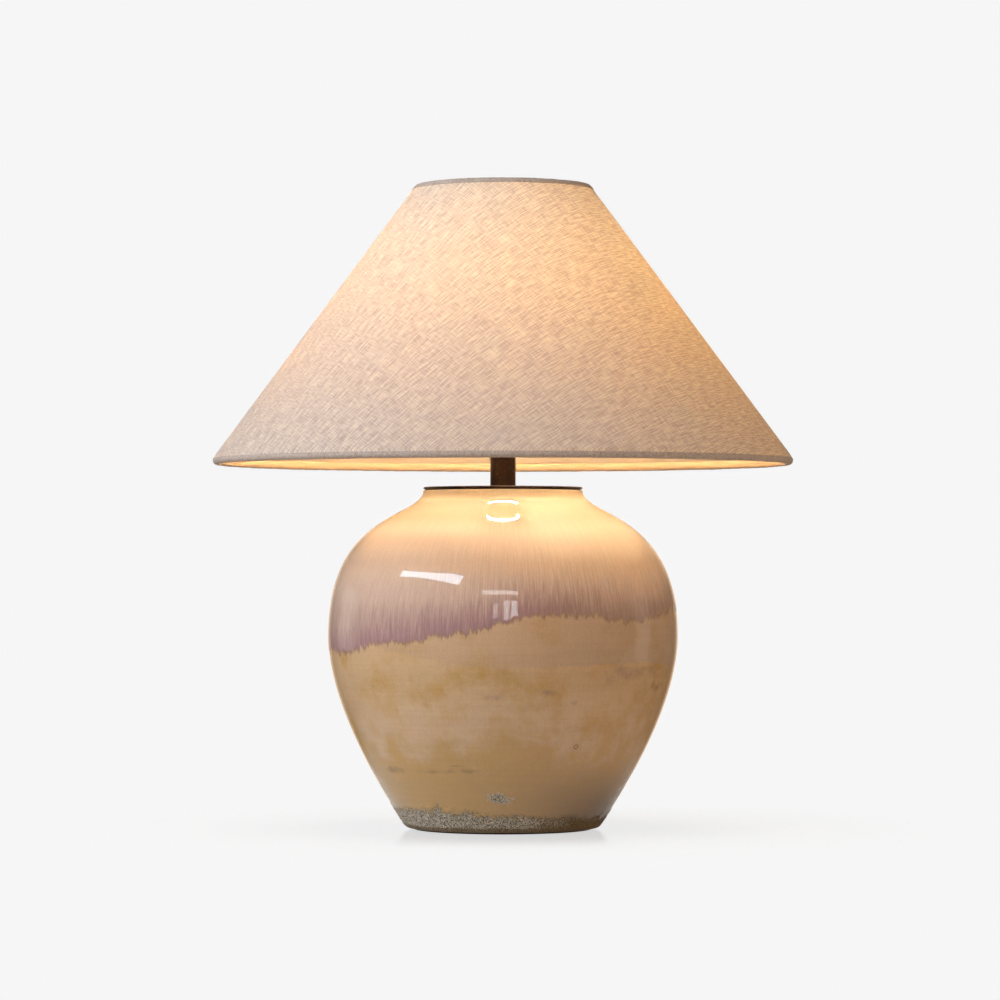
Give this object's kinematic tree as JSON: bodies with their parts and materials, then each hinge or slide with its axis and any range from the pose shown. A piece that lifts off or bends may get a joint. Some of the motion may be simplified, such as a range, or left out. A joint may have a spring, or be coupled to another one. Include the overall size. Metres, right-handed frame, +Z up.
{
  "type": "jar table lamp",
  "caption": "Table lamp with a bulbous glazed stoneware jar, a metal cap and neck, a harp, a flared linen shade on a wire spider, a finial and a screw-in globe bulb.",
  "frame": {"origin": "centre of the felt's underside, on the surface that the lamp stands on", "axes": "+Z up along the lamp's axis, +Y to the back, where the cord enters, +X to the right"},
  "size_m": [0.549, 0.549, 0.61],
  "materials": {
    "felt": "short wool felt",
    "glaze": "glossy reactive glaze over stoneware, crusty and dry at the foot",
    "rubber": "moulded, matt",
    "zinc_steel": "zinc plated",
    "brass": "rolled and lacquered",
    "bronze": "dark oil-rubbed bronze, satin",
    "aluminium": "drawn sheet",
    "phenolic": "moulded phenolic",
    "paper_sleeve": "varnished fibre paper",
    "white_plastic": "moulded, white",
    "diffuser": "frosted diffuser, lit",
    "linen": "slubby linen laminated to a liner",
    "linen_trim": "linen tape rolled round the ring",
    "styrene": "translucent styrene sheet",
    "wire": "nickel-coloured wire",
    "circuit_board": "white aluminium-core board",
    "black_glass": "black vitreous insulator"
  },
  "bodies": {
    "root": {"base_felt": "felt", "jar": "glaze", "cord_grommet": "rubber", "bottom_gasket": "rubber", "bottom_washer": "zinc_steel", "lock_washer": "zinc_steel", "bottom_nut": "brass", "centre_rod": "zinc_steel", "cap_gasket": "rubber", "jar_cap": "bronze", "cap_nut": "brass", "neck_tube": "bronze", "harp_saddle": "brass", "harp": "brass", "harp_stud": "brass", "socket_cap": "brass", "socket_shell": "brass", "socket_insulator": "paper_sleeve", "socket_body": "phenolic", "screw_shell": "aluminium", "centre_contact": "brass", "terminal_screws": "brass"},
    "shade": {"spider": "wire", "shade_top_ring": "wire", "shade_bottom_ring": "wire", "shade_liner": "styrene", "shade_fabric": "linen", "shade_seam": "linen", "shade_trim_top": "linen_trim", "shade_trim_bottom": "linen_trim"},
    "sleeve_left": {"harp_sleeve_left": "brass"},
    "sleeve_right": {"harp_sleeve_right": "brass"},
    "switch": {"switch_shaft": "brass", "switch_knob": "phenolic"},
    "bulb_lift": {"bulb_contact": "aluminium"},
    "bulb": {"bulb_insulator": "black_glass", "bulb_base": "aluminium", "bulb_board": "circuit_board", "bulb_body": "white_plastic", "bulb_globe": "diffuser"},
    "finial_lift": {"finial_insert": "brass"},
    "finial": {"finial": "bronze"}
  },
  "joints": [
    {"name": "shade_swivel", "type": "hinge", "parent": "root", "child": "shade", "pos_m": [0, 0, 0.569], "axis": [0, 0, 1], "continuous": true},
    {"name": "sleeve_left_slide", "type": "slide", "parent": "root", "child": "sleeve_left", "axis": [0, 0, 1], "range_m": [0, 0.012]},
    {"name": "sleeve_right_slide", "type": "slide", "parent": "root", "child": "sleeve_right", "axis": [0, 0, 1], "range_m": [0, 0.012]},
    {"name": "switch_turn", "type": "hinge", "parent": "root", "child": "switch", "pos_m": [0, 0, 0.395], "axis": [0.6561, -0.7547, 0], "continuous": true},
    {"name": "bulb_lift_slide", "type": "slide", "parent": "root", "child": "bulb_lift", "axis": [0, 0, 1], "range_m": [0, 0.01815]},
    {"name": "bulb_turn", "type": "hinge", "parent": "bulb_lift", "child": "bulb", "pos_m": [0, 0, 0.405], "axis": [0, 0, 1], "range_deg": [0, 1800]},
    {"name": "finial_lift_slide", "type": "slide", "parent": "root", "child": "finial_lift", "axis": [0, 0, 1], "range_m": [0, 0.00799]},
    {"name": "finial_turn", "type": "hinge", "parent": "finial_lift", "child": "finial", "pos_m": [0, 0, 0.571], "axis": [0, 0, 1], "range_deg": [0, 3060]}
  ],
  "couplings": [
    {"joint": "bulb_turn", "follows": "bulb_lift_slide", "rad_per_m": 1730.9},
    {"joint": "finial_turn", "follows": "finial_lift_slide", "rad_per_m": 6684.2}
  ]
}
